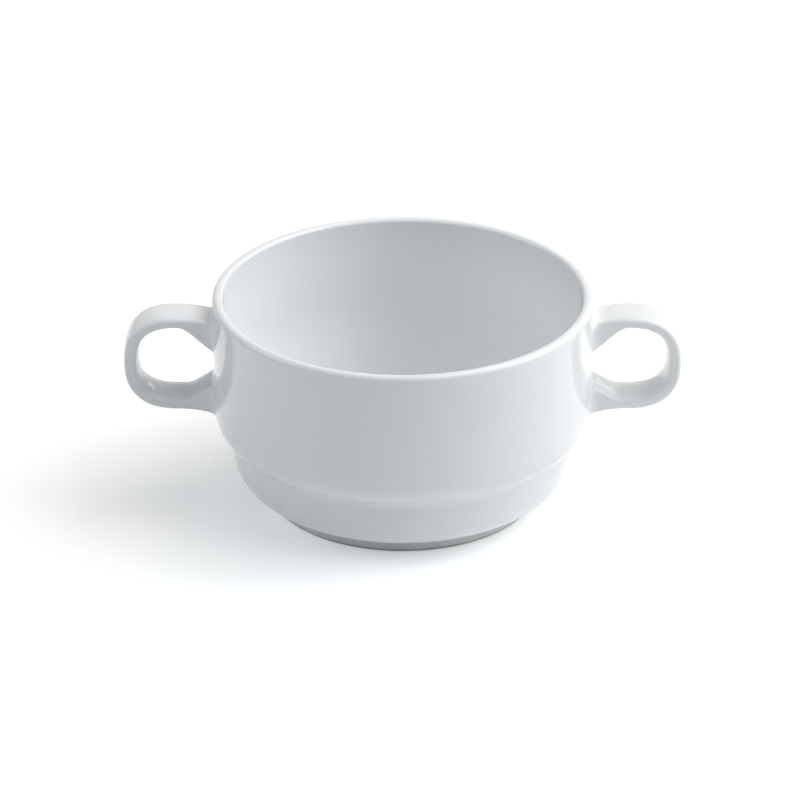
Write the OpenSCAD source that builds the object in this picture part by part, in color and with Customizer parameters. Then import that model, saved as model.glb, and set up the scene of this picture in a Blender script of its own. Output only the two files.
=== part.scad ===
// Stacking bouillon cup with two strap handles, cast as one piece of glazed porcelain.
// Sizes are in millimetres. The origin is the middle of the foot where it stands,
// +X runs along the handles and +Z is up.

/* [Bowl] */
// Outside diameter at the rim
rim_d = 105; // [98:1:125]
// Height from the table to the top of the rim
cup_h = 60.5; // [54:0.5:76]
// Thickness of the wall, which the rim rounds over
wall_t = 3; // [2.4:0.1:3.8]
// How much the wall opens on the radius from the shoulder to the rim
wall_flare = 0.3; // [0:0.1:1]
// Thickness of the bottom inside the foot
floor_t = 4; // [3:0.25:6]
// Radius where the bottom turns up into the wall, inside
bowl_r = 13.5; // [8:0.5:18]
// Lean of the wall inside the lower tier, in degrees from upright
bowl_taper = 20; // [14:1:26]

/* [Stacking step] */
// Outside diameter of the lower tier, which drops into the cup below
tier_d = 95.2; // [88:0.2:97]
// How much the lower tier leans out up to the step, on the radius
tier_lean = 0.8; // [0:0.1:1.5]
// Height of the step above the table
tier_h = 19.8; // [16:0.1:24]
// Thickness of the wall at the step
tier_t = 2.8; // [2.4:0.1:4]
// Radius inside the corner of the step
step_r = 4.5; // [1:0.5:6]
// Climb of the shoulder over the step, in degrees from level
shoulder_slope = 41; // [30:1:55]
// Radius that turns the shoulder into the upright wall
shoulder_r = 8; // [4:0.5:12]

/* [Foot] */
// Outside diameter of the foot ring at its top
foot_d = 75.2; // [66:0.2:84]
// Height of the foot ring, and depth of the hollow inside it
foot_h = 3; // [1.6:0.1:4]
// Width of the face that the cup stands on
foot_t = 3; // [2:0.1:5]
// Lean of the foot's outer side, on the radius
foot_lean = 0.5; // [0:0.1:1]
// Climb of the underside beside the foot, in degrees from level
belly_slope = 26.5; // [20:0.5:36]
// Radius that turns the underside into the lower tier
belly_r = 10.4; // [7:0.2:14]

/* [Handles] */
// How far each handle stands out from the rim
handle_out = 24.6; // [20:0.1:32]
// Height of the loop over its outside
handle_h = 28.2; // [24:0.1:36]
// How far the loop's top lies below the rim
handle_drop = 4.9; // [3:0.1:8]
// Width of the strap
handle_w = 11.5; // [8:0.1:14]
// Thickness of the strap at the upper arm, in the middle of its width
handle_t = 4; // [3:0.1:6]
// How much thicker the strap is at the lower arm
handle_swell = 0.5; // [0:0.1:1.6]
// How much the strap's inner face domes across its width
inner_dome = 1; // [0:0.1:1.4]
// Radius of the strap's long edges
edge_r = 1.2; // [0.8:0.1:1.5]
// Length of each arm, from the wall to where the loop begins to turn
arm_l = 10; // [7:0.5:13]
// Squareness of the loop, where 2 is an ellipse
loop_power = 2.5; // [2:0.1:3.5]
// How much both arms sink towards the wall
arm_sink = 1.6; // [0:0.1:2.6]

/* [Handle roots] */
// Depth of the haunch under the upper arm, at the wall
haunch_h = 5.3; // [3:0.1:8]
// Length of that haunch along the arm
haunch_l = 10; // [6:0.2:11]
// Height of the heel on top of the lower arm, at the wall
heel_h = 5.7; // [2:0.1:7]
// Length of that heel along the arm
heel_l = 6.7; // [4:0.1:8]
// Radius of the fillet over and under each root
root_r = 1.2; // [0.6:0.1:2.4]
// How much the strap spreads at the wall, on each side
root_spread = 2.2; // [0.6:0.1:3]
// Length of that spread along the arm
root_run = 3; // [1:0.1:5]

/* [Hidden] */
// Farthest that a chord strays from its arc
chord_gap = 0.02;
// Rings of the strap along each arm, and degrees between rings round the loop
ARM_RINGS = 14;
LOOP_STEP = 6;
// Points on each of the strap's four rounded edges, and cells across its domed inner face
EDGE_STEPS = 5;
DOME_STEPS = 4;
// Crowding of the rings towards the wall, where 1 is even
RING_CROWD = 1.6;
// Share of the heel's length, before and past its end, over which it runs out
HEEL_SOFT = 0.25;
// Distance from the wall up to which the rings bend to follow it, and how far the root's toe sinks in
root_follow = 7;
toe_sunk = 0.12;
// Radii of the soft edges of the foot
foot_edge = 0.6;
foot_cove = 0.5;
hollow_cove = 1.4;
// Radius that turns the inside wall into the lower tier
inner_shoulder_r = 34;

rim_r = rim_d / 2;
body_r = rim_r - wall_flare;
tier_r = tier_d / 2;
foot_r = foot_d / 2;
lip_r = wall_t / 2;
floor_z = foot_h + floor_t;
shoulder_z = tier_h + (body_r - tier_r) * tan(shoulder_slope);
belly_z = foot_h + (tier_r - tier_lean - foot_r) * tan(belly_slope);
// The inside wall crosses this radius at the height of the step
throat_r = tier_r - tier_t;
inner_r = body_r - wall_t;
inner_shoulder_z = tier_h + (inner_r - throat_r) / tan(bowl_taper);
floor_r = throat_r - (tier_h - floor_z) * tan(bowl_taper);

// Half-length, half-height and middle of the strap's middle line in its loop
loop_t = handle_t + handle_swell / 2;
loop_a = rim_r + handle_out - loop_t / 2 - body_r - arm_l;
loop_b = (handle_h - loop_t) / 2;
loop_z = cup_h - handle_drop - handle_t / 2 - loop_b;
// The strap starts this far in from the wall, where the bowl's inside cuts it off
strap_start = wall_t + body_r - throat_r;
// The inside runs past the rim by this much
cut_over = 1;

function unit(v) = v / norm(v);

function turned(v, angle) = [
    v[0] * cos(angle) - v[1] * sin(angle),
    v[0] * sin(angle) + v[1] * cos(angle)
];

// Length that the rounding of corner b takes of its line to corner a, shared by their radii
function share(a, b) = norm([a[0] - b[0], a[1] - b[1]]) * b[2] / (a[2] + b[2]);

// Arc that rounds corner b of the line a, b, c, each corner being [radius, height, rounding]
function corner_arc(a, b, c) =
    let (
        p = [b[0], b[1]],
        u = unit([a[0], a[1]] - p),
        v = unit([c[0], c[1]] - p),
        half = acos(u * v) / 2,
        reach = min(b[2] / tan(half), share(a, b), share(c, b)),
        r = reach * tan(half),
        side = u[0] * v[1] - u[1] * v[0] > 0 ? -1 : 1,
        turn = 180 - 2 * half,
        steps = ceil(turn / (2 * acos(1 - chord_gap / r))),
        start = p + u * reach,
        centre = p + unit(u + v) * r / sin(half)
    )
    [for (i = [0:steps]) centre + turned(start - centre, side * turn * i / steps)];

// The line through the corners, rounded at each and left open short of the first and the last
function rounded(corners) = [
    for (i = [1:len(corners) - 2])
        each corner_arc(corners[i - 1], corners[i], corners[i + 1])
];

// Corners of the outside, from the axis in the foot's hollow to the axis at the rim's height
function outside_corners() = [
    [0, foot_h, 0],
    [foot_r - foot_lean - foot_t - foot_h / 2, foot_h, hollow_cove],
    [foot_r - foot_lean - foot_t, 0, foot_edge],
    [foot_r - foot_lean, 0, foot_edge],
    [foot_r, foot_h, foot_cove],
    [tier_r - tier_lean, belly_z, belly_r],
    [tier_r, tier_h, step_r],
    [body_r, shoulder_z, shoulder_r],
    [rim_r, cup_h, lip_r],
    [0, cup_h, 0]
];

// Corners of the inside, from the rim down to the axis at the bottom
function inside_corners() = [
    [rim_r, cup_h, 0],
    [rim_r - wall_t, cup_h, lip_r],
    [inner_r, inner_shoulder_z, inner_shoulder_r],
    [floor_r, floor_z, bowl_r],
    [0, floor_z, 0]
];

module outside() {
    rotate_extrude($fn = 180)
        polygon(concat([[0, foot_h]], rounded(outside_corners()), [[0, cup_h]]));
}

// What the bowl holds, which is cut away once the handles have joined the wall
module inside() {
    top = cup_h + cut_over;
    rotate_extrude($fn = 180)
        polygon(concat([[0, top], [rim_r - lip_r, top]], rounded(inside_corners()), [[0, floor_z]]));
}

// The wall's outside above the step, as [height, radius] pairs
function wall_line() = [for (p = rounded(outside_corners())) if (p[1] > tier_h) [p[1], p[0]]];

// How far a point of the wall lies behind its radius at the shoulder, seen along the handles
function wall_back(line, y, z) = body_r - sqrt(pow(lookup(z, line), 2) - pow(y, 2));

// Runs from 1 down to 0 as q runs from 0 to 1, with a soft start and a soft end
function eased(q) = let (c = min(max(q, 0), 1)) 1 - c * c * (3 - 2 * c);

// A flare of height h that dies out at length l from the wall: a quarter ellipse, tangent to the arm
function fillet(d, l, h) = d >= l ? 0 : h * (1 - sqrt(1 - pow((l - d) / l, 2)));

// Depth of the haunch under the upper arm, which is no longer than that arm
function haunch(d) = haunch_h * eased(d / min(haunch_l, arm_l));

// Height of the heel on the lower arm: a straight ramp that runs out softly and ends on that arm
function heel(d) =
    let (q = d / min(heel_l, arm_l / (1 + HEEL_SOFT)))
    heel_h * (q > 1 + HEEL_SOFT ? 0
        : q < 1 - HEEL_SOFT ? 1 - q
        : pow(1 + HEEL_SOFT - q, 2) / (4 * HEEL_SOFT));

// Distances of the rings from the wall along an arm, close together at the root
function arm_distances() = [for (i = [0:ARM_RINGS]) arm_l * pow(i / ARM_RINGS, RING_CROWD)];

// A point of the strap's middle line on an arm, where side is 1 above and -1 below
function arm_point(d, side) =
    [body_r + d, loop_z + side * loop_b - arm_sink * pow(1 - max(d, 0) / arm_l, 2)];

// A point of it round the loop's end, a superellipse
function loop_point(angle) =
    let (
        r = pow(pow(abs(cos(angle)) / loop_a, loop_power)
            + pow(abs(sin(angle)) / loop_b, loop_power), -1 / loop_power)
    )
    [body_r + arm_l + r * cos(angle), loop_z + r * sin(angle)];

// Stations of the strap as [point, distance from the wall, share of the way to the lower arm, side]
function stations() =
    let (
        arm = arm_distances()
    )
    concat(
        [[arm_point(-strap_start, 1), 0, 0, 1]],
        [for (d = arm) [arm_point(d, 1), d, 0, 1]],
        [for (a = [90 - LOOP_STEP:-LOOP_STEP:LOOP_STEP - 90])
            [loop_point(a), arm_l, (90 - a) / 180, sign(a)]],
        [for (i = [ARM_RINGS:-1:0]) [arm_point(arm[i], -1), arm[i], 1, -1]],
        [[arm_point(-strap_start, -1), 0, 1, -1]]
    );

// Section of the strap as [out, across] points: a rounded oblong with its inner face domed
function section(outer, inner, half_w, edge) =
    let (
        flat = half_w - edge,
        corner = function(k) [for (i = [0:EDGE_STEPS])
            let (a = 90 * (k + i / EDGE_STEPS))
            [(k == 0 || k == 3 ? outer - edge : edge - inner) + edge * cos(a),
                (k < 2 ? flat : -flat) + edge * sin(a)]],
        face = [for (i = [1:DOME_STEPS - 1]) [-inner, flat * (1 - 2 * i / DOME_STEPS)]]
    )
    [for (p = concat(corner(0), corner(1), face, corner(2), corner(3)))
        [p[0] < 0 ? p[0] * (1 - inner_dome / inner * pow(p[1] / half_w, 2)) : p[0], p[1]]];

// One ring of the strap, upright on an arm and square to the middle line round the loop.
// At a root it flares and bends to follow the wall.
function ring(st, ahead, wall) =
    let (
        d = st[1],
        out = d < arm_l ? [0, st[3]] : turned(unit(ahead), 90),
        half_t = (handle_t + handle_swell * st[2]) / 2,
        flare = fillet(d, root_r, root_r),
        outer = half_t + flare,
        inner = half_t + flare + (st[3] > 0 ? haunch(d) : heel(d)),
        spread = fillet(d, root_run, root_spread)
    )
    [for (p = section(outer, inner, handle_w / 2 + spread, min(edge_r + spread, outer)))
        let (
            z = st[0][1] + out[1] * p[0],
            back = eased(d / root_follow) * (wall_back(wall, p[1], z) + toe_sunk)
        )
        [st[0][0] + out[0] * p[0] - back, p[1], z]];

// Skin over rings of n points, closed by a flat cap at each end
module loft(rings) {
    n = len(rings[0]);
    last = len(rings) - 1;
    sides = [for (j = [0:last - 1], i = [0:n - 1])
        let (
            a = j * n + i,
            b = j * n + (i + 1) % n
        )
        each [[a, b, a + n], [b, b + n, a + n]]];
    caps = [for (i = [1:n - 2])
        each [[0, i + 1, i], [last * n, last * n + i, last * n + i + 1]]];
    polyhedron(
        points = [for (ring = rings) each ring],
        faces = concat(sides, caps)
    );
}

module handle() {
    st = stations();
    last = len(st) - 1;
    wall = wall_line();
    loft([for (i = [0:last]) ring(st[i], st[min(i + 1, last)][0] - st[max(i - 1, 0)][0], wall)]);
}

module cup() {
    color("white")
        difference() {
            union() {
                outside();
                handle();
                mirror([1, 0, 0])
                    handle();
            }
            inside();
        }
}

cup();
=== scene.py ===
"""Looks of the bouillon cup: one casting of glazed porcelain on a pale studio floor."""

import math

import bmesh
import bpy
import numpy as np
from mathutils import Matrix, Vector


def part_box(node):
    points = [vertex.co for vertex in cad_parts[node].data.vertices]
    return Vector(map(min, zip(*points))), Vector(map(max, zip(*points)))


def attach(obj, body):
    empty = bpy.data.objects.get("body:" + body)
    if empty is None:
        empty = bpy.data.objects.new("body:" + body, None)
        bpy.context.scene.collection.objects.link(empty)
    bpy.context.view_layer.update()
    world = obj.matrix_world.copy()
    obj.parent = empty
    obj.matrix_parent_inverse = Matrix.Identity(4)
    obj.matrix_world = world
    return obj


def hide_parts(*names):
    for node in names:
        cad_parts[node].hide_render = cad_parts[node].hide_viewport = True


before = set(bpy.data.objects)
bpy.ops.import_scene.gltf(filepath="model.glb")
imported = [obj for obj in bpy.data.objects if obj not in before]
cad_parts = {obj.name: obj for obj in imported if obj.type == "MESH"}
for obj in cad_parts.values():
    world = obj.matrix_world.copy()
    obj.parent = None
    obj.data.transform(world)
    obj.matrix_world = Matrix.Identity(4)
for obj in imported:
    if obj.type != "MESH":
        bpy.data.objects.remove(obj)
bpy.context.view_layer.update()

MM = 0.001

# Whole sizes in millimetres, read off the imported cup
node_low, node_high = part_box("cup")
REACH = round(node_high.x / MM, 1)
RIM_R = round(node_high.y / MM, 1)
CUP_H = round(node_high.z / MM, 1)

# Bowl, in millimetres: the wall runs out to the rim by the flare
WALL_T = 3.0
RIM_FLARE = 0.3
BODY_R = RIM_R - RIM_FLARE
# Just under half the wall, so that a little of the lip's top stays flat
LIP_R = 0.49 * WALL_T
FLOOR_T = 4.0
BOWL_R = 13.5
BOWL_TAPER = math.radians(20)
INNER_SHOULDER_R = 34.0

# Stacking step
TIER_R = 47.6
TIER_H = 19.8
TIER_T = 2.8
TIER_LEAN = 0.8
STEP_R = 4.5
SHOULDER_SLOPE = math.radians(41)
SHOULDER_R = 8.0

# Foot: the ring's outer side leans in toward the table, and its inner side leans out
FOOT_R = 37.6
FOOT_H = 3.0
FOOT_T = 3.0
FOOT_LEAN = 0.5
HOLLOW_LEAN = 1.5
FOOT_EDGE = 0.6
FOOT_COVE = 0.5
HOLLOW_COVE = 1.4
BELLY_SLOPE = math.radians(26.5)
BELLY_R = 10.4

# Handles: the strap
HANDLE_H = 28.2
HANDLE_DROP = 4.9
HANDLE_W = 11.5
HANDLE_T = 4.0
HANDLE_SWELL = 0.5
EDGE_R = 1.2
# How much the strap's outer and inner faces dome across its width
OUTER_DOME = 0.3
INNER_DOME = 1.0
ARM_L = 10.0
ARM_SINK = 1.6
LOOP_POWER = 2.5

# Handles: the haunch under the upper arm and the heel on the lower one
HAUNCH_H = 5.3
HAUNCH_L = 10.0
HEEL_H = 5.7
HEEL_L = 6.7
# Share of the heel's length, before and past its end, over which it runs out
HEEL_SOFT = 0.25

# Handles: each root's fillet over and under the strap, and its wider spread to the sides
ROOT_R = 1.2
SPREAD_W = 2.2
SPREAD_L = 3.0
# The roots follow the wall's curve up to this distance from it
FOLLOW = 7.0

# Sizes that follow from those
FLOOR_Z = FOOT_H + FLOOR_T
FACE_R = FOOT_R - FOOT_LEAN
HOLLOW_R = FACE_R - FOOT_T
BELLY_END_R = TIER_R - TIER_LEAN
BELLY_Z = FOOT_H + (BELLY_END_R - FOOT_R) * math.tan(BELLY_SLOPE)
SHOULDER_Z = TIER_H + (BODY_R - TIER_R) * math.tan(SHOULDER_SLOPE)
THROAT_R = TIER_R - TIER_T
INNER_R = BODY_R - WALL_T
INNER_SHOULDER_Z = TIER_H + (INNER_R - THROAT_R) / math.tan(BOWL_TAPER)
FLOOR_R = THROAT_R - (TIER_H - FLOOR_Z) * math.tan(BOWL_TAPER)
LOOP_T = HANDLE_T + HANDLE_SWELL / 2
LOOP_A = REACH - LOOP_T / 2 - BODY_R - ARM_L
LOOP_B = (HANDLE_H - LOOP_T) / 2
LOOP_Z = CUP_H - HANDLE_DROP - HANDLE_T / 2 - LOOP_B

# Mesh: columns round the cup, an arc's turn between points and its fewest steps, and the
# longest step of a straight
COLUMNS = 256
ARC_STEP = math.radians(5)
ARC_LEAST = 3
LONGEST = 2.5
# A handle's root opens a square of this many cells a side in the wall
ROOT_CELLS = 16
# Heights that the lower and the upper root's squares run between, and the cells between the two
LOWER_ROOT = (22.3, 38.4)
UPPER_ROOT = (40.4, 58.0)
BETWEEN_CELLS = 2
# Height that the outline's own points keep from the band of the squares
BAND_CLEAR = 0.3
PATCH_RINGS = 6
FILLET_RINGS = 16
ARM_RINGS = 26
LOOP_RINGS = 60
# Cells of a strap's side: rounded, straight, rounded
SIDE_CELLS = (5, 6, 5)
# Rings past a root's toe that the glaze softens with the patch, how often and by what share
SOFT_RINGS = 7
SOFT_PASSES = 6
SOFT_SHARE = 0.5


def unit(v):
    """The direction of a vector."""
    return v / np.linalg.norm(v)


def corner_arc(a, b, c):
    """Points that round corner b of the line a, b, c, each (radius, height, rounding)."""
    p, u, v = np.array(b[:2]), np.array(a[:2]) - b[:2], np.array(c[:2]) - b[:2]
    share = min(np.linalg.norm(u) * b[2] / (a[2] + b[2]), np.linalg.norm(v) * b[2] / (c[2] + b[2]))
    u, v = unit(u), unit(v)
    half = math.acos(np.dot(u, v)) / 2
    reach = min(b[2] / math.tan(half), share)
    r = reach * math.tan(half)
    centre = p + unit(u + v) * r / math.sin(half)
    turn = (math.pi - 2 * half) * (-1 if u[0] * v[1] - u[1] * v[0] > 0 else 1)
    steps = max(ARC_LEAST, math.ceil(abs(turn) / ARC_STEP))
    arm = p + u * reach - centre
    angles = turn * np.arange(steps + 1) / steps
    return [centre + (arm[0] * math.cos(t) - arm[1] * math.sin(t),
                      arm[0] * math.sin(t) + arm[1] * math.cos(t)) for t in angles]


def outline():
    """The cup's half section, from the axis under the foot round the rim to the axis inside."""
    corners = [
        (0, FOOT_H, 0),
        (HOLLOW_R - HOLLOW_LEAN, FOOT_H, HOLLOW_COVE),
        (HOLLOW_R, 0, FOOT_EDGE),
        (FACE_R, 0, FOOT_EDGE),
        (FOOT_R, FOOT_H, FOOT_COVE),
        (BELLY_END_R, BELLY_Z, BELLY_R),
        (TIER_R, TIER_H, STEP_R),
        (BODY_R, SHOULDER_Z, SHOULDER_R),
        (RIM_R, CUP_H, LIP_R),
        (RIM_R - WALL_T, CUP_H, LIP_R),
        (INNER_R, INNER_SHOULDER_Z, INNER_SHOULDER_R),
        (FLOOR_R, FLOOR_Z, BOWL_R),
        (0, FLOOR_Z, 0),
    ]
    points = [np.array(corners[0][:2])]
    for i in range(1, len(corners) - 1):
        points += corner_arc(*corners[i - 1:i + 2])
    return np.array(points + [np.array(corners[-1][:2])])


# The wall, where the handles join: the part of the outline between the step and the lip
LINE = outline()
WALL_START = int(np.argmax(LINE[:, 1] > TIER_H))
WALL_END = int(np.argmax(LINE[:, 1] > CUP_H - WALL_T / 2 - BAND_CLEAR))
WALL = LINE[WALL_START:WALL_END + 1]


def wall_radius(z):
    """Outside radius of the wall at a height above the step."""
    return np.interp(z, WALL[:, 1], WALL[:, 0])


def wall_levels():
    """Heights of the rings in the band of wall where the handles join."""
    lower = np.linspace(*LOWER_ROOT, ROOT_CELLS + 1)
    between = np.linspace(LOWER_ROOT[1], UPPER_ROOT[0], BETWEEN_CELLS + 1)[1:-1]
    upper = np.linspace(*UPPER_ROOT, ROOT_CELLS + 1)
    return np.concatenate([lower, between, upper])


def split_steps(points):
    """Adds points so that no straight step is longer than LONGEST."""
    out = [points[0]]
    for a, b in zip(points[:-1], points[1:]):
        n = max(1, math.ceil(np.linalg.norm(b - a) / LONGEST))
        out += [a + (b - a) * k / n for k in range(1, n + 1)]
    return out


def section():
    """The outline as rings of the mesh, and the number of the ring where the wall's band starts."""
    below = split_steps([p for p in LINE[:WALL_END] if p[1] < LOWER_ROOT[0] - BAND_CLEAR])
    band = [np.array([wall_radius(z), z]) for z in wall_levels()]
    above = split_steps(list(LINE[WALL_END:]))
    return np.array(below + band + above), len(below)


def fillet(d, length, height):
    """How far a root's fillet stands out at distance d from the wall: a quarter ellipse."""
    return 0.0 if d >= length else height * (1 - math.sqrt(1 - ((length - d) / length) ** 2))


def soft(q):
    """Runs from 0 to 1 with a soft start and a soft end."""
    q = min(1.0, max(0.0, q))
    return q * q * (3 - 2 * q)


def haunch(d):
    """Depth of the haunch under the upper arm, which starts and ends softly."""
    return HAUNCH_H * (1 - soft(d / HAUNCH_L))


def heel(d):
    """Height of the heel on the lower arm: a straight ramp that runs out softly."""
    left = 1 - d / HEEL_L
    if left > HEEL_SOFT:
        return HEEL_H * left
    return HEEL_H * max(0.0, left + HEEL_SOFT) ** 2 / (4 * HEEL_SOFT)


def side(start, end, corner_r, along, out):
    """Points of one side of a strap's section, from the middle of one corner to just before the next."""
    half_turn = math.radians(45)
    points = []
    for k in range(SIDE_CELLS[0]):
        t = half_turn * (1 - k / SIDE_CELLS[0])
        points.append(start + along * corner_r * (1 - math.sin(t)) - out * corner_r * (1 - math.cos(t)))
    a, b = start + along * corner_r, end - along * corner_r
    points += [a + (b - a) * k / SIDE_CELLS[1] for k in range(SIDE_CELLS[1])]
    for k in range(SIDE_CELLS[2]):
        t = half_turn * k / SIDE_CELLS[2]
        points.append(b + along * corner_r * math.sin(t) - out * corner_r * (1 - math.cos(t)))
    return points


def strap_section(outer, inner, half_w, corner_r):
    """Rounded oblong as (y, u) points, u being the distance out from the middle line."""
    corners = [np.array(c) for c in ((-half_w, outer), (half_w, outer), (half_w, -inner), (-half_w, -inner))]
    points = []
    for k, out in enumerate(((0, 1), (1, 0), (0, -1), (-1, 0))):
        start, end = corners[k], corners[(k + 1) % 4]
        points += side(start, end, corner_r, unit(end - start), np.array(out))
    points = np.array(points)
    dome = np.where(points[:, 1] > 0, OUTER_DOME / outer, INNER_DOME / inner)
    points[:, 1] *= 1 - dome * (points[:, 0] / half_w) ** 2
    return points


def arm_ring(d, top):
    """A ring of the strap on an arm at distance d from the wall, top being 1 above and -1 below."""
    half_t = (HANDLE_T + (0 if top > 0 else HANDLE_SWELL)) / 2
    flare, spread = fillet(d, ROOT_R, ROOT_R), fillet(d, SPREAD_L, SPREAD_W)
    deep = haunch(d) if top > 0 else heel(d)
    points = strap_section(half_t + flare, half_t + flare + deep, HANDLE_W / 2 + spread, EDGE_R + spread)
    middle = LOOP_Z + top * LOOP_B - ARM_SINK * (1 - d / ARM_L) ** 2
    y, z = points[:, 0], middle + top * points[:, 1]
    wall_x = np.sqrt(wall_radius(z) ** 2 - y ** 2)
    return np.stack([BODY_R + d + (wall_x - BODY_R) * (1 - soft(d / FOLLOW)), y, z], axis=1)


def loop_ring(angle):
    """A ring of the strap round the loop's end, where the angle runs from 90 above to -90 below."""
    c, s = math.cos(angle), math.sin(angle)
    r = ((abs(c) / LOOP_A) ** LOOP_POWER + (abs(s) / LOOP_B) ** LOOP_POWER) ** (-1 / LOOP_POWER)
    x, z = r * c, r * s
    out = unit(np.array([abs(x / LOOP_A) ** (LOOP_POWER - 1) / LOOP_A,
                         math.copysign(abs(z / LOOP_B) ** (LOOP_POWER - 1) / LOOP_B, z)]))
    half_t = (HANDLE_T + HANDLE_SWELL * (0.5 - angle / math.pi)) / 2
    points = strap_section(half_t, half_t, HANDLE_W / 2, EDGE_R)
    return np.stack([BODY_R + ARM_L + x + out[0] * points[:, 1], points[:, 0],
                     LOOP_Z + z + out[1] * points[:, 1]], axis=1)


def strap_rings():
    """All rings of a strap on +X, from the toe of the upper fillet to the toe of the lower one."""
    turns = np.linspace(math.pi / 2, 0, FILLET_RINGS + 1)
    near = [SPREAD_L * (1 - math.sin(t)) for t in turns]
    arm = near + list(np.linspace(SPREAD_L, ARM_L, ARM_RINGS + 1)[1:])
    angles = np.linspace(math.pi / 2, -math.pi / 2, LOOP_RINGS + 1)[1:-1]
    return ([arm_ring(d, 1) for d in arm] + [loop_ring(a) for a in angles]
            + [arm_ring(d, -1) for d in reversed(arm)])


def patch_rings(toe, edge):
    """Rings on the wall's surface between a root's toe and the square opened for it."""
    rings = []
    toe_a, edge_a = np.arctan2(toe[:, 1], toe[:, 0]), np.arctan2(edge[:, 1], edge[:, 0])
    for k in range(1, PATCH_RINGS + 1):
        t = k / (PATCH_RINGS + 1)
        a, z = toe_a + (edge_a - toe_a) * t, toe[:, 2] + (edge[:, 2] - toe[:, 2]) * t
        r = wall_radius(z)
        rings.append(np.stack([r * np.cos(a), r * np.sin(a), z], axis=1))
    return rings


def square_walk(first_ring, top):
    """Cells round a root's square as (ring, column), in the order of a strap section's points."""
    n, half = ROOT_CELLS, ROOT_CELLS // 2
    outer, inner, step = (first_ring + n, first_ring, -1) if top > 0 else (first_ring, first_ring + n, 1)
    walk = [(outer, -half + k) for k in range(n)]
    walk += [(outer + step * k, half) for k in range(n)]
    walk += [(inner, half - k) for k in range(n)]
    walk += [(inner - step * k, -half) for k in range(n)]
    return walk


class Skin:
    """Vertices and faces of the cup as they are laid down, in millimetres."""

    def __init__(self):
        self.points = []
        self.faces = []
        self.softened = []

    def add(self, points):
        """Lays points down and says their numbers."""
        start = len(self.points)
        self.points += [tuple(p) for p in points]
        return list(range(start, len(self.points)))

    def at(self, numbers):
        """Where the points of these numbers are."""
        return np.array([self.points[n] for n in numbers])

    def bridge(self, a, b):
        """Joins two loops of as many points each."""
        n = len(a)
        self.faces += [(a[k], a[(k + 1) % n], b[(k + 1) % n], b[k]) for k in range(n)]


def lay_bowl(skin, rings, roots):
    """Turns the section, leaving out the cells that the handles' roots take."""
    turn = 2 * np.pi * np.arange(COLUMNS) / COLUMNS
    first, last = skin.add([(0, 0, rings[0][1]), (0, 0, rings[-1][1])])
    ids = [None] + [skin.add(np.stack([r * np.cos(turn), r * np.sin(turn), np.full(COLUMNS, z)], axis=1))
                    for r, z in rings[1:-1]] + [None]
    for j in range(COLUMNS):
        k = (j + 1) % COLUMNS
        skin.faces.append((first, ids[1][j], ids[1][k]))
        skin.faces.append((last, ids[-2][k], ids[-2][j]))
    half = ROOT_CELLS // 2
    for i in range(1, len(rings) - 2):
        in_root = any(start <= i < start + ROOT_CELLS for start in roots)
        for j in range(COLUMNS):
            # Columns from the nearer of +X and -X
            off = (j + COLUMNS // 4) % (COLUMNS // 2) - COLUMNS // 4
            if not (in_root and -half <= off < half):
                k = (j + 1) % COLUMNS
                skin.faces.append((ids[i][j], ids[i][k], ids[i + 1][k], ids[i + 1][j]))
    return ids


def lay_handle(skin, ids, roots, way):
    """Joins a strap to its two squares in the wall, way being 1 for +X and -1 for -X."""
    flip = np.array([way, 1, 1])
    base = 0 if way > 0 else COLUMNS // 2
    lower_edge, upper_edge = [[ids[i][(base + way * j) % COLUMNS] for i, j in square_walk(start, top)]
                              for start, top in zip(roots, (-1, 1))]
    rings = strap_rings()
    upper = patch_rings(rings[0], skin.at(upper_edge) * flip)
    lower = patch_rings(rings[-1], skin.at(lower_edge) * flip)
    loops = [skin.add(ring * flip) for ring in upper[::-1] + rings + lower]
    loops = [upper_edge] + loops + [lower_edge]
    for a, b in zip(loops[:-1], loops[1:]):
        skin.bridge(a, b)
    reach = 1 + PATCH_RINGS + SOFT_RINGS
    skin.softened += sum(loops[1:reach] + loops[-reach:-1], [])


def cup_mesh():
    """One closed skin: the turned bowl with both straps grown out of its wall."""
    rings, band = section()
    roots = (band, band + ROOT_CELLS + BETWEEN_CELLS)
    skin = Skin()
    ids = lay_bowl(skin, rings, roots)
    for way in (1, -1):
        lay_handle(skin, ids, roots, way)
    mesh = bpy.data.meshes.new("porcelain_cup")
    mesh.from_pydata([tuple(c * MM for c in p) for p in skin.points], [], skin.faces)
    bm = bmesh.new()
    bm.from_mesh(mesh)
    bm.verts.ensure_lookup_table()
    softened = [bm.verts[i] for i in skin.softened]
    for _ in range(SOFT_PASSES):
        bmesh.ops.smooth_vert(bm, verts=softened, factor=SOFT_SHARE,
                              use_axis_x=True, use_axis_y=True, use_axis_z=True)
    # The wall's own points inside the squares carry no face
    bmesh.ops.delete(bm, geom=[v for v in bm.verts if not v.link_faces], context="VERTS")
    bmesh.ops.recalc_face_normals(bm, faces=bm.faces)
    bm.to_mesh(mesh)
    bm.free()
    mesh.shade_smooth()
    return mesh


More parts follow.
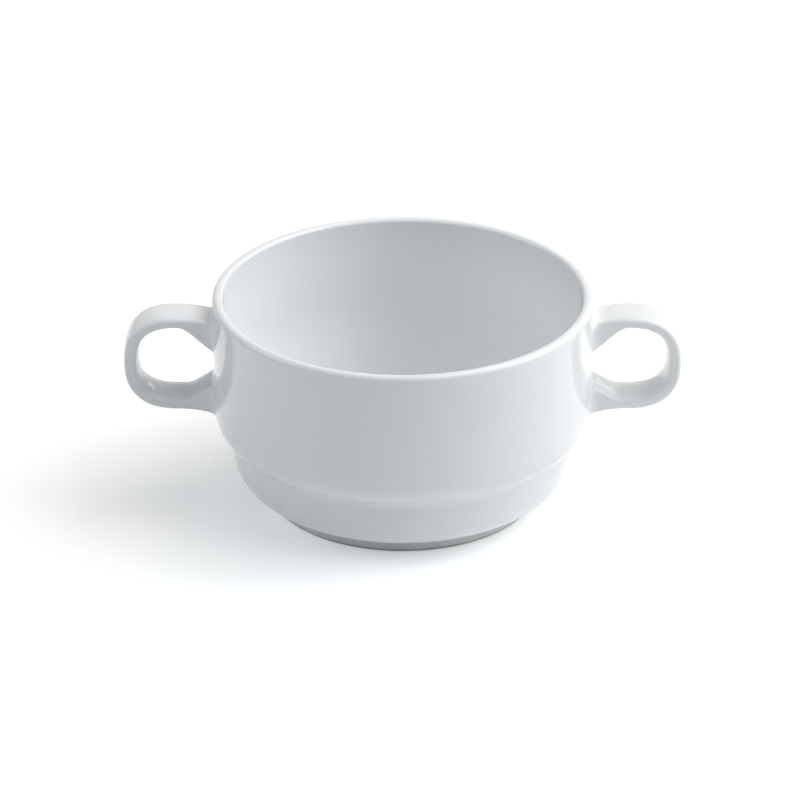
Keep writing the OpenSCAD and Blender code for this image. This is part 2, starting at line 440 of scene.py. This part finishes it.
class Shader:
    """A material's nodes, added one by one."""

    def __init__(self, tree):
        self.tree = tree

    def node(self, kind, **values):
        made = self.tree.nodes.new(kind)
        for key, value in values.items():
            setattr(made, key, value)
        return made

    def feed(self, socket, value):
        """Gives a socket a constant, or links it to the output that the value comes from."""
        if isinstance(value, bpy.types.NodeSocket):
            self.tree.links.new(value, socket)
        else:
            socket.default_value = value

    def math(self, operation, a, b):
        made = self.node("ShaderNodeMath", operation=operation)
        self.feed(made.inputs[0], a)
        self.feed(made.inputs[1], b)
        return made.outputs[0]

    def ramp(self, value, low, high, to_low, to_high):
        made = self.node("ShaderNodeMapRange", clamp=True, interpolation_type="SMOOTHSTEP")
        for name, number in zip(("Value", "From Min", "From Max", "To Min", "To Max"),
                                (value, low, high, to_low, to_high)):
            self.feed(made.inputs[name], number)
        return made.outputs["Result"]

    def noise(self, where, scale, detail, rough=0.5):
        made = self.node("ShaderNodeTexNoise")
        for name, value in zip(("Vector", "Scale", "Detail", "Roughness"), (where, scale, detail, rough)):
            self.feed(made.inputs[name], value)
        return made.outputs["Fac"]

    def mix_colour(self, share, a, b):
        made = self.node("ShaderNodeMix", data_type="RGBA")
        # Of the node's sockets, 6 and 7 are the two colours, and output 2 is the mixed one
        self.feed(made.inputs[0], share)
        self.feed(made.inputs[6], a)
        self.feed(made.inputs[7], b)
        return made.outputs[2]

    def bump(self, height, strength, distance, normal=None):
        made = self.node("ShaderNodeBump")
        self.feed(made.inputs["Height"], height)
        self.feed(made.inputs["Strength"], strength)
        self.feed(made.inputs["Distance"], distance)
        if normal is not None:
            self.feed(made.inputs["Normal"], normal)
        return made.outputs["Normal"]


def new_material(name):
    """A material with no nodes yet, and the shader that adds them."""
    material = bpy.data.materials.new(name)
    material.use_nodes = True
    material.node_tree.nodes.clear()
    return material, Shader(material.node_tree)


# Glaze: its colour drifts with its thickness between two whites, and its gloss a little too
GLAZE_THIN = (0.868, 0.868, 0.872, 1)
GLAZE_THICK = (0.853, 0.858, 0.864, 1)
GLAZE_ROUGH = 0.06
ROUGH_DRIFT = 0.02
GLAZE_IOR = 1.52
# Scales of the noise that moves its colour, its gloss and the long waves of its surface
COLOUR_SCALE = 24.0
GLOSS_SCALE = 60.0
WAVE_SCALE = 45.0
# Part of the gloss noise's range that the drift is spread over
GLOSS_RANGE = (0.3, 0.7)
# Height of the waves in metres, and how strongly they show
WAVE_H = 0.00012
WAVE_SHOWS = 0.35

# Unglazed ring, darkened with painted shade: the glaze ends this far over the standing face, within this
# much, in metres
UNGLAZED_SHADE_H = 0.0009
UNGLAZED_SHADE_FADE = 0.0003
# Greys of the unglazed ring: painted shade, much darker than unglazed porcelain, for the contact shadow
# where the foot meets the floor
SHADED_BISQUE_LIGHT = (0.58, 0.57, 0.55, 1)
SHADED_BISQUE_DARK = (0.48, 0.47, 0.45, 1)
BISQUE_ROUGH = 0.75
# Scales of its specks and its grain, the specks' roughness, and the grain's height in metres
SPECK_SCALE = 900.0
SPECK_ROUGH = 0.7
GRAIN_SCALE = 4200.0
GRAIN_H = 0.00006
GRAIN_SHOWS = 0.5


def porcelain():
    """White glaze over porcelain, and the unglazed ring that the cup stood on in the kiln, painted dark grey
    as shade where the foot meets the floor.
    """
    material, s = new_material("glazed_porcelain")
    out = s.node("ShaderNodeOutputMaterial")
    shader = s.node("ShaderNodeBsdfPrincipled")
    where = s.node("ShaderNodeTexCoord").outputs["Object"]
    height = s.node("ShaderNodeSeparateXYZ")
    s.feed(height.inputs[0], where)

    glaze = s.mix_colour(s.noise(where, COLOUR_SCALE, 3.0), GLAZE_THIN, GLAZE_THICK)
    unglazed_and_shaded = s.ramp(height.outputs["Z"], UNGLAZED_SHADE_H - UNGLAZED_SHADE_FADE, UNGLAZED_SHADE_H, 1.0, 0.0)
    # Painted shade: the unglazed ring's dark greys stand in for the contact shadow at the foot
    shaded_bisque = s.mix_colour(s.noise(where, SPECK_SCALE, 4.0, SPECK_ROUGH), SHADED_BISQUE_DARK, SHADED_BISQUE_LIGHT)
    s.feed(shader.inputs["Base Color"], s.mix_colour(unglazed_and_shaded, glaze, shaded_bisque))

    gloss = s.ramp(s.noise(where, GLOSS_SCALE, 2.0), *GLOSS_RANGE,
                   GLAZE_ROUGH - ROUGH_DRIFT, GLAZE_ROUGH + ROUGH_DRIFT)
    extra = s.ramp(unglazed_and_shaded, 0.0, 1.0, 0.0, BISQUE_ROUGH - GLAZE_ROUGH)
    s.feed(shader.inputs["Roughness"], s.math("ADD", gloss, extra))
    s.feed(shader.inputs["IOR"], GLAZE_IOR)

    waves = s.bump(s.noise(where, WAVE_SCALE, 1.0), WAVE_SHOWS, WAVE_H)
    grain = s.math("MULTIPLY", s.noise(where, GRAIN_SCALE, 2.0), unglazed_and_shaded)
    s.feed(shader.inputs["Normal"], s.bump(grain, GRAIN_SHOWS, GRAIN_H, waves))
    s.feed(out.inputs["Surface"], shader.outputs[0])
    return material


def make_cup():
    """The cup, which takes the place of the CAD's one node."""
    cup = bpy.data.objects.new("porcelain_cup", cup_mesh())
    bpy.context.scene.collection.objects.link(cup)
    cup.data.materials.append(porcelain())
    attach(cup, "root")
    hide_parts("cup")


# Camera: its distance from the point it looks at, and its height over the level
CAMERA_D = 1.300
CAMERA_EL = math.radians(26.58)
# That point is just left of the axis, at about half the cup's height
AIM = Vector((-0.00075, 0, 0.02783))
# Pixels that a metre spans there, in a picture of this many pixels across
SCALE = 3595.2
FRAME_PX = 800
SENSOR = 36.0

# Floor: as a source of bounced light, and as it is seen, with a glow that takes it to white
FLOOR_W = 6.0
FLOOR_BOUNCE = 0.9
FLOOR_SEEN = 0.98
FLOOR_GLOW = 0.295

# Soft lamps at one distance, each facing the cup. The two panes are a window in the glaze.
LAMP_D = 1.5
LAMPS = (
    # name, azimuth and height in degrees, width and height in metres, power in watts, tint
    ("right front high", 45, 55, 1.0, 1.0, 1.6, (0.59, 0.78, 1.0)),
    ("left front", 315, 30, 1.0, 1.0, 2.2, (0.54, 0.93, 1.0)),
    ("right high", 92, 50, 0.5, 0.5, 2.8, (0.77, 0.82, 1.0)),
    ("right front", 75, 30, 0.9, 0.9, 4.3, (0.91, 0.97, 1.0)),
    ("right rear", 110, 30, 0.9, 0.9, 3.1, (0.92, 1.0, 0.94)),
    ("over", 90, 78, 1.0, 1.0, 3.1, (1.0, 0.82, 0.7)),
    ("rear high", 120, 60, 0.9, 0.9, 3.4, (0.99, 0.95, 1.0)),
    ("right wide", 92, 45, 2.0, 2.0, 12.1, (1.0, 1.0, 0.94)),
    ("left", 270, 32, 1.0, 1.0, 5.8, (1.0, 0.95, 0.99)),
    ("rear over", 180, 75, 1.0, 1.0, 1.4, (0.84, 1.0, 0.99)),
    ("right pane", 141, 25, 0.08, 0.62, 0.45, (1.0, 1.0, 1.0)),
    ("left pane", 149, 25, 0.08, 0.62, 0.45, (1.0, 1.0, 1.0)),
)


def make_camera():
    """The camera, in front of the cup and looking down on it."""
    data = bpy.data.cameras.new("camera")
    data.sensor_width = SENSOR
    data.lens = SCALE * CAMERA_D / FRAME_PX * SENSOR
    camera = bpy.data.objects.new("camera", data)
    bpy.context.scene.collection.objects.link(camera)
    back = Vector((0, -math.cos(CAMERA_EL), math.sin(CAMERA_EL)))
    camera.location = AIM + back * CAMERA_D
    camera.rotation_euler = (-back).to_track_quat("-Z", "Y").to_euler()
    bpy.context.scene.camera = camera


def where_seen(s, seen, plain):
    """Shows one shader to the camera, reflections and refractions, and the other to all other light."""
    rays = s.node("ShaderNodeLightPath")
    share = s.math("MAXIMUM", rays.outputs["Is Camera Ray"], rays.outputs["Is Glossy Ray"])
    share = s.math("MAXIMUM", share, rays.outputs["Is Transmission Ray"])
    mix = s.node("ShaderNodeMixShader")
    for socket, value in zip(mix.inputs, (share, plain.outputs[0], seen.outputs[0])):
        s.feed(socket, value)
    return mix


def matt(s, level):
    """A matt grey of this level."""
    shader = s.node("ShaderNodeBsdfDiffuse")
    s.feed(shader.inputs["Color"], (level, level, level, 1))
    return shader


def make_floor():
    """The floor, which bounces light as one grey and is seen as a lighter one that glows."""
    half = FLOOR_W / 2
    corners = [(-half, -half, 0), (half, -half, 0), (half, half, 0), (-half, half, 0)]
    mesh = bpy.data.meshes.new("floor")
    mesh.from_pydata(corners, [], [(0, 1, 2, 3)])
    floor = bpy.data.objects.new("floor", mesh)
    bpy.context.scene.collection.objects.link(floor)
    material, s = new_material("pale_floor")
    glow = s.node("ShaderNodeEmission")
    s.feed(glow.inputs["Strength"], FLOOR_GLOW)
    seen = s.node("ShaderNodeAddShader")
    s.feed(seen.inputs[0], matt(s, FLOOR_SEEN).outputs[0])
    s.feed(seen.inputs[1], glow.outputs[0])
    out = s.node("ShaderNodeOutputMaterial")
    s.feed(out.inputs["Surface"], where_seen(s, seen, matt(s, FLOOR_BOUNCE)).outputs[0])
    mesh.materials.append(material)


def make_lamp(name, azimuth, height, width_m, height_m, power, tint):
    """A soft lamp that faces the cup. Azimuth 0 is toward the camera and 90 is +X."""
    data = bpy.data.lights.new(name, "AREA")
    data.shape = "RECTANGLE"
    data.size = width_m
    data.size_y = height_m
    data.energy = power
    data.color = tint
    lamp = bpy.data.objects.new(name, data)
    bpy.context.scene.collection.objects.link(lamp)
    a, h = math.radians(azimuth), math.radians(height)
    way = Vector((math.sin(a) * math.cos(h), -math.cos(a) * math.cos(h), math.sin(h)))
    lamp.location = AIM + way * LAMP_D
    lamp.rotation_euler = way.to_track_quat("Z", "Y").to_euler()


def make_world():
    """White where it is seen, and dark as a source of light, which the lamps give."""
    world = bpy.data.worlds.new("studio")
    world.use_nodes = True
    world.node_tree.nodes.clear()
    s = Shader(world.node_tree)
    white, dark = s.node("ShaderNodeBackground"), s.node("ShaderNodeBackground")
    s.feed(white.inputs["Color"], (1, 1, 1, 1))
    s.feed(white.inputs["Strength"], 1.0)
    s.feed(dark.inputs["Strength"], 0.0)
    out = s.node("ShaderNodeOutputWorld")
    s.feed(out.inputs["Surface"], where_seen(s, white, dark).outputs[0])
    bpy.context.scene.world = world


make_camera()
make_cup()
make_floor()
for lamp in LAMPS:
    make_lamp(*lamp)
make_world()
bpy.context.scene.view_settings.view_transform = "Standard"
